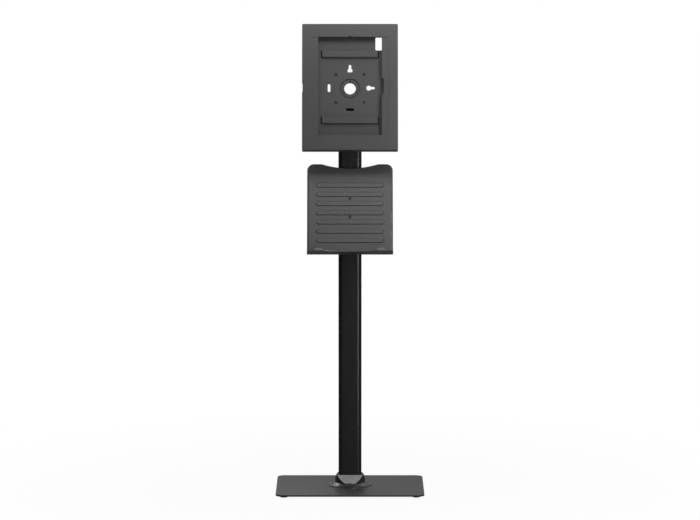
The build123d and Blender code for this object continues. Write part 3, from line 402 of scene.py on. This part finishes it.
class Dresser:
    """Builds each finish once and puts it on CAD nodes and new pieces."""

    def __init__(self) -> None:
        """Start with no material built."""
        self.materials: dict[str, bpy.types.Material] = {}
        self.slots = {
            row["node"]: row["material_slot"] for row in frame["record"]["subparts"]
        }

    def material(self, slot: str) -> bpy.types.Material:
        """Give the material of a slot, built at its first use."""
        if slot not in self.materials:
            self.materials[slot] = FINISHES[slot].build(slot)
        return self.materials[slot]

    def paint(self, piece: bpy.types.Object, slot: str) -> None:
        """Replace whatever material a piece has by the slot's finish."""
        piece.data.materials.clear()
        piece.data.materials.append(self.material(slot))

    def node(self, name: str) -> None:
        """Dress one CAD node in the finish that the record names for it."""
        self.paint(frame["nodes"][name], self.slots[name])
        log.info("%s: %s", name, self.slots[name])


def tube_along(path: Array, radii: Array, sides: int) -> Array:
    """Grid of a round tube along a path.

    A ring of the given radius stands square to the path at each of its points, and the first
    and last rings shrink to a point, so that the tube is closed. The ring at point p is
    p + r (cos a * u + sin a * v), with u and v square to the path's direction.

    Args:
        path: points of the centre line, one row each.
        radii: radius at each point.
        sides: points round each ring.

    Returns:
        An array of rings by sides by three.
    """
    along = np.gradient(path, axis=0)
    along /= np.linalg.norm(along, axis=1, keepdims=True)
    aside = np.cross(along, np.where(np.abs(along[:, 2:]) < 0.9, [0.0, 0.0, 1.0], [1.0, 0.0, 0.0]))
    aside /= np.linalg.norm(aside, axis=1, keepdims=True)
    above = np.cross(along, aside)
    angle = np.linspace(0.0, 2.0 * np.pi, sides, endpoint=False)[None, :, None]
    ring = np.cos(angle) * aside[:, None] + np.sin(angle) * above[:, None]
    grid = path[:, None] + radii[:, None, None] * ring
    first = np.repeat(path[None, :1], sides, axis=1)
    last = np.repeat(path[None, -1:], sides, axis=1)
    return np.concatenate([first, grid, last])


def weld_bead(name: str, start: Vector, end: Vector, radius: float) -> bpy.types.Object:
    """Fillet weld along an inner corner, laid down as a row of overlapping drops.

    The radius along the bead is r (1 + h cos(2 pi s / p)) with p the pitch of the drops, and it
    falls almost to zero over the last drop at both ends like a quarter of a circle.

    Args:
        name: name of the new piece.
        start: one end of the corner.
        end: the other end.
        radius: mean radius of the bead.

    Returns:
        The bead, with smooth faces.
    """
    drop, ripple, steps, sides = 0.9 * radius, 0.09, 8, 12
    least = 0.0004
    length = (end - start).length
    count = max(int(length / drop), 2) * steps
    run = np.linspace(0.0, length, count + 1)
    centre = np.array(start) + np.outer(run / length, np.array(end - start))
    rim = np.clip(np.minimum(run, length - run) / radius, 0.0, 1.0)
    swell = 1.0 + ripple * np.cos(2.0 * np.pi * run / drop)
    radii = radius * swell * np.sqrt(np.clip(1.0 - (1.0 - rim) ** 2, least, 1.0))
    return grid_mesh(name, tube_along(centre, radii, sides), closed_columns=True)


def thread(name: str, start: Vector, end: Vector, radius: float, pitch: float) -> bpy.types.Object:
    """Screw thread on a shank, closed at both ends.

    The radius at the angle a and the distance s along the shank is the root's radius plus the
    depth times a triangle wave of s / pitch - a / (2 pi), which makes one helical ridge.

    Args:
        name: name of the new piece.
        start: centre of the end where the thread begins.
        end: centre of the free end.
        radius: radius at the root of the thread.
        pitch: distance from ridge to ridge.

    Returns:
        The threaded sleeve, with smooth faces.
    """
    depth_share, steps, sides = 0.3, 8, 32
    length = (end - start).length
    rows = max(int(length / pitch * steps), steps)
    run = np.linspace(0.0, length, rows + 1)[:, None]
    angle = np.linspace(0.0, 2.0 * np.pi, sides, endpoint=False)[None, :]
    phase = run / pitch - angle / (2.0 * np.pi)
    wave = 1.0 - 2.0 * np.abs(phase - np.floor(phase) - 0.5)
    rim = np.clip(np.minimum(run, length - run) / (0.5 * pitch), 0.0, 1.0)
    radii = radius + depth_share * pitch * wave * rim
    along = np.array((end - start).normalized())
    aside = np.cross(along, [0.0, 0.0, 1.0])
    aside /= np.linalg.norm(aside)
    above = np.cross(along, aside)
    ring = np.cos(angle)[..., None] * aside + np.sin(angle)[..., None] * above
    centre = np.array(start) + run[..., None] * along
    grid = centre + radii[..., None] * ring
    first = np.repeat(centre[:1], sides, axis=1)
    last = np.repeat(centre[-1:], sides, axis=1)
    return grid_mesh(name, np.concatenate([first, grid, last]), closed_columns=True)


@dataclass
class SubAssembly:
    """A group of CAD nodes on one body, with the small pieces that are added to it."""

    dresser: Dresser

    def dress(self, body: str, *nodes: str) -> None:
        """Dress CAD nodes and see that they ride on the body that is meant."""
        for name in nodes:
            if name not in frame["record"]["behaviour"]["bodies"][body]:
                raise ValueError(f"{name} does not ride on {body}")
            self.dresser.node(name)

    def add(self, piece: bpy.types.Object, body: str, slot: str) -> None:
        """Paint a new piece and let it ride on a body."""
        self.dresser.paint(piece, slot)
        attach(piece, body)
        log.info("%s: new piece, %s", piece.name, slot)


@dataclass
class Foot(SubAssembly):
    """Base plate with its rubber feet and bolts, and the glossy collar on it."""

    def build(self) -> None:
        """Dress the four nodes at the floor."""
        self.dress("stand", "base_plate", "base_feet", "base_bolts", "collar")


@dataclass
class Column(SubAssembly):
    """Extruded pole with its bushing and cap, and the welded yoke on top."""

    weld_radius: float = 1.6 * MM
    weld_margin: float = 4.0 * MM
    plate_thickness: float = 3.0 * MM
    cheek_outer: float = 15.0 * MM

    def build(self) -> None:
        """Dress the nodes and weld the yoke's cheeks to its plate."""
        self.dress(
            "stand", "pole", "cable_bushing", "pole_cap", "head_yoke", "yoke_screws",
        )
        self.weld_cheeks()

    def weld_cheeks(self) -> None:
        """Lay a bead outside each cheek, along the plate's upper face."""
        plate_low, plate_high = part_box("pole_cap")
        top = plate_high.z + self.plate_thickness
        front = plate_low.y + self.weld_margin
        back = plate_high.y - 2.0 * self.weld_margin
        for side, word in ((-1, "left"), (1, "right")):
            x = side * self.cheek_outer
            start, end = Vector((x, front, top)), Vector((x, back, top))
            bead = weld_bead(f"yoke_weld_{word}", start, end, self.weld_radius)
            self.add(bead, "stand", "dark_coat")


@dataclass
class TiltHead(SubAssembly):
    """Bracket, axle and hub that tilt on the yoke."""

    tail: float = 2.0 * MM
    thread_root: float = 4.02 * MM
    thread_pitch: float = 1.0 * MM

    def build(self) -> None:
        """Dress the nodes and cut the thread that shows past the nut."""
        self.dress(
            "tilt_head", "tilt_bracket", "tilt_washers", "tilt_bolt", "tilt_nut", "swivel_washer",
            "keeper_ring", "keeper_screws",
        )
        low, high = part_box("tilt_nut")
        y, z = (low.y + high.y) / 2.0, (low.z + high.z) / 2.0
        tail = thread(
            "tilt_bolt_thread", Vector((low.x, y, z)), Vector((low.x - self.tail, y, z)),
            self.thread_root, self.thread_pitch,
        )
        self.add(tail, "tilt_head", "black_screw")


@dataclass
class Enclosure(SubAssembly):
    """Back housing with its cross bars, hinges and lock, on the swivel plate."""

    barrel_root: float = 7.02 * MM
    barrel_pitch: float = 1.0 * MM

    def build(self) -> None:
        """Dress the nodes and cut the lock barrel's thread past its nut."""
        self.dress(
            "enclosure", "swivel_plate", "enclosure_screws", "back_housing", "cross_bar_upper",
            "cross_bar_lower", "hinge_pins", "lock_body", "lock_nut",
        )
        self.dress("lock_key_core", "lock_core", "lock_cam", "cam_screw")
        nut_low, nut_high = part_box("lock_nut")
        barrel_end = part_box("lock_body")[1].x
        y, z = (nut_low.y + nut_high.y) / 2.0, (nut_low.z + nut_high.z) / 2.0
        barrel = thread(
            "lock_barrel_thread", Vector((nut_high.x, y, z)), Vector((barrel_end, y, z)),
            self.barrel_root, self.barrel_pitch,
        )
        self.add(barrel, "enclosure", "lock_chrome")


@dataclass
class Cover(SubAssembly):
    """Hinged steel lid with its adapter strips and the catch of the lock."""

    def build(self) -> None:
        """Dress the nodes of the lid."""
        self.dress(
            "cover", "front_cover", "adapter_strip_left", "adapter_strip_right", "strip_nuts",
            "lock_catch",
        )


@dataclass
class DocumentTray(SubAssembly):
    """Pressed tray on its wedge bracket."""

    def build(self) -> None:
        """Dress the nodes of the tray."""
        self.dress("stand", "document_tray", "tray_bracket", "tray_screws", "tray_bracket_screws")


@dataclass(frozen=True)
class Lamp:
    """Rectangular softbox that faces a point of the stand.

    Azimuth 0 stands at the camera's side and turns to the viewer's right; elevation is above the
    horizon at the target, which is a height on the stand's axis. The camera doesn't see the lamp.
    """

    name: str
    azimuth: float
    elevation: float
    distance: float
    width: float
    height: float
    power: float
    target: float = 0.9

    def hang(self) -> None:
        """Make the lamp and turn it to its target."""
        data = bpy.data.lights.new(self.name, "AREA")
        data.shape = "RECTANGLE"
        data.size, data.size_y = self.width, self.height
        data.energy = self.power
        turn, rise = math.radians(self.azimuth), math.radians(self.elevation)
        away = Vector((
            math.sin(turn) * math.cos(rise), -math.cos(turn) * math.cos(rise), math.sin(rise),
        ))
        lamp = bpy.data.objects.new(self.name, data)
        lamp.location = Vector((0.0, 0.0, self.target)) + self.distance * away
        lamp.rotation_euler = away.to_track_quat("Z", "Y").to_euler()
        lamp.visible_camera = False
        bpy.context.scene.collection.objects.link(lamp)


@dataclass
class Studio:
    """Pale floor, soft lamps, a white background and the camera.

    The floor turns from paper into a white glow between the first two values of floor_fade, and
    the third is the glow's share near the stand. Paper is the floor's colour for the camera, and
    bounce is its colour for every other ray, so that undersides stay dark. The surroundings glow
    with fill in front of the stand and with behind at its back, over glow_range of the
    direction's Y.
    """

    camera_place: tuple[float, float, float] = (0.0, -8.8565, 1.7142)
    camera_pitch: float = math.radians(7.0)
    focal_pixels: float = 3301.5
    sensor: float = 36.0
    camera_reach: float = 100.0
    floor_reach: float = 40.0
    floor_steps: int = 41
    floor_roughness: float = 0.9
    floor_fade: tuple[float, float, float] = (0.2, 1.4, 0.93)
    paper: float = 0.85
    bounce: float = 0.12
    fill: float = 0.0
    behind: float = 0.25
    glow_range: tuple[float, float] = (0.1, 0.8)
    lamps: tuple[Lamp, ...] = (
        Lamp("key_softbox", azimuth=-8.0, elevation=43.0, distance=2.0,
             width=1.6, height=0.5, power=6.0),
        Lamp("overhead_softbox", azimuth=0.0, elevation=80.0, distance=1.6,
             width=1.3, height=0.5, power=6.0),
        Lamp("right_softbox", azimuth=85.0, elevation=20.0, distance=2.0,
             width=0.8, height=1.2, power=6.0),
        Lamp("left_softbox", azimuth=-85.0, elevation=20.0, distance=2.0,
             width=0.8, height=1.2, power=2.0),
        Lamp("right_strip", azimuth=24.0, elevation=0.0, distance=1.2,
             width=0.08, height=1.66, power=8.0, target=0.86),
        Lamp("collar_softbox", azimuth=0.0, elevation=67.0, distance=2.4,
             width=0.8, height=0.5, power=4.0, target=0.03),
        Lamp("back_softbox", azimuth=-150.0, elevation=42.0, distance=2.4,
             width=1.6, height=0.8, power=14.0, target=0.1),
        Lamp("rear_softbox", azimuth=165.0, elevation=38.0, distance=2.4,
             width=1.4, height=1.0, power=11.0, target=0.9),
    )

    def build(self) -> None:
        """Make the camera, the floor, the surroundings and the lamps."""
        self.make_camera()
        self.make_floor()
        self.make_world()
        for lamp in self.lamps:
            lamp.hang()

    def make_camera(self) -> None:
        """Set the camera at the photograph's place, looking down a little."""
        data = bpy.data.cameras.new("camera")
        data.sensor_width = self.sensor
        data.lens = self.focal_pixels * self.sensor / IMAGE_WIDTH
        data.clip_end = self.camera_reach
        camera = bpy.data.objects.new("camera", data)
        camera.location = self.camera_place
        camera.rotation_euler = (math.pi / 2.0 - self.camera_pitch, 0.0, 0.0)
        bpy.context.scene.collection.objects.link(camera)
        bpy.context.scene.camera = camera

    def make_floor(self) -> None:
        """Lay a floor that looks white: mostly glow near the stand, and nothing else far away.

        Only a trace of the stand's shadow is left in it. The floor is the plane z = 0 over a grid
        of x and y.
        """
        steps = np.linspace(-self.floor_reach, self.floor_reach, self.floor_steps)
        x, y = np.meshgrid(steps, steps)
        floor = grid_mesh("floor", np.stack([x, y, np.zeros_like(x)], axis=-1))
        graph = Graph("floor_paper")
        graph.set(Roughness=self.floor_roughness)
        glow = graph.node("ShaderNodeEmission")
        ray = graph.node("ShaderNodeLightPath")
        graph.blended(ray, "Is Camera Ray", (self.bounce,) * 3, (self.paper,) * 3)
        length = graph.node("ShaderNodeVectorMath", operation="LENGTH")
        graph.link(graph.place, "Object", length, "Vector")
        fade = graph.node("ShaderNodeMapRange", interpolation_type="SMOOTHSTEP")
        for key, value in zip(("From Min", "From Max", "To Min"), self.floor_fade):
            fade.inputs[key].default_value = value
        graph.link(length, "Value", fade, "Value")
        seen = graph.node("ShaderNodeMath", operation="MULTIPLY")
        graph.link(fade, "Result", seen, "Value")
        graph.tree.links.new(ray.outputs["Is Camera Ray"], seen.inputs[1])
        mix = graph.node("ShaderNodeMixShader")
        graph.link(seen, "Value", mix, "Fac")
        graph.tree.links.new(graph.shader.outputs["BSDF"], mix.inputs[1])
        graph.tree.links.new(glow.outputs["Emission"], mix.inputs[2])
        graph.link(mix, "Shader", graph.output, "Surface")
        floor.data.materials.append(graph.material)

    def make_world(self) -> None:
        """Show white to the camera, and a dim glow from behind the stand to every other ray."""
        world = bpy.data.worlds.new("surroundings")
        bpy.context.scene.world = world
        world.use_nodes = True
        nodes, links = world.node_tree.nodes, world.node_tree.links
        nodes.clear()
        output = nodes.new("ShaderNodeOutputWorld")
        sky = nodes.new("ShaderNodeBackground")
        sky.inputs["Color"].default_value = (1.0, 1.0, 1.0, 1.0)
        white = nodes.new("ShaderNodeBackground")
        white.inputs["Strength"].default_value = 1.0
        white.inputs["Color"].default_value = (1.0, 1.0, 1.0, 1.0)
        place = nodes.new("ShaderNodeTexCoord")
        split = nodes.new("ShaderNodeSeparateXYZ")
        links.new(place.outputs["Generated"], split.inputs["Vector"])
        back = nodes.new("ShaderNodeMapRange")
        values = (*self.glow_range, self.fill, self.behind)
        for key, value in zip(("From Min", "From Max", "To Min", "To Max"), values):
            back.inputs[key].default_value = value
        links.new(split.outputs["Y"], back.inputs["Value"])
        links.new(back.outputs["Result"], sky.inputs["Strength"])
        ray = nodes.new("ShaderNodeLightPath")
        mix = nodes.new("ShaderNodeMixShader")
        links.new(ray.outputs["Is Camera Ray"], mix.inputs["Fac"])
        links.new(sky.outputs["Background"], mix.inputs[1])
        links.new(white.outputs["Background"], mix.inputs[2])
        links.new(mix.outputs["Shader"], output.inputs["Surface"])


def main() -> None:
    """Build the studio and dress every sub-assembly."""
    logging.basicConfig(level=logging.INFO, format="%(message)s")
    bpy.context.scene.view_settings.view_transform = "Standard"
    Studio().build()
    dresser = Dresser()
    for group in (Foot, Column, TiltHead, Enclosure, Cover, DocumentTray):
        group(dresser).build()


if __name__ == "__main__":
    main()
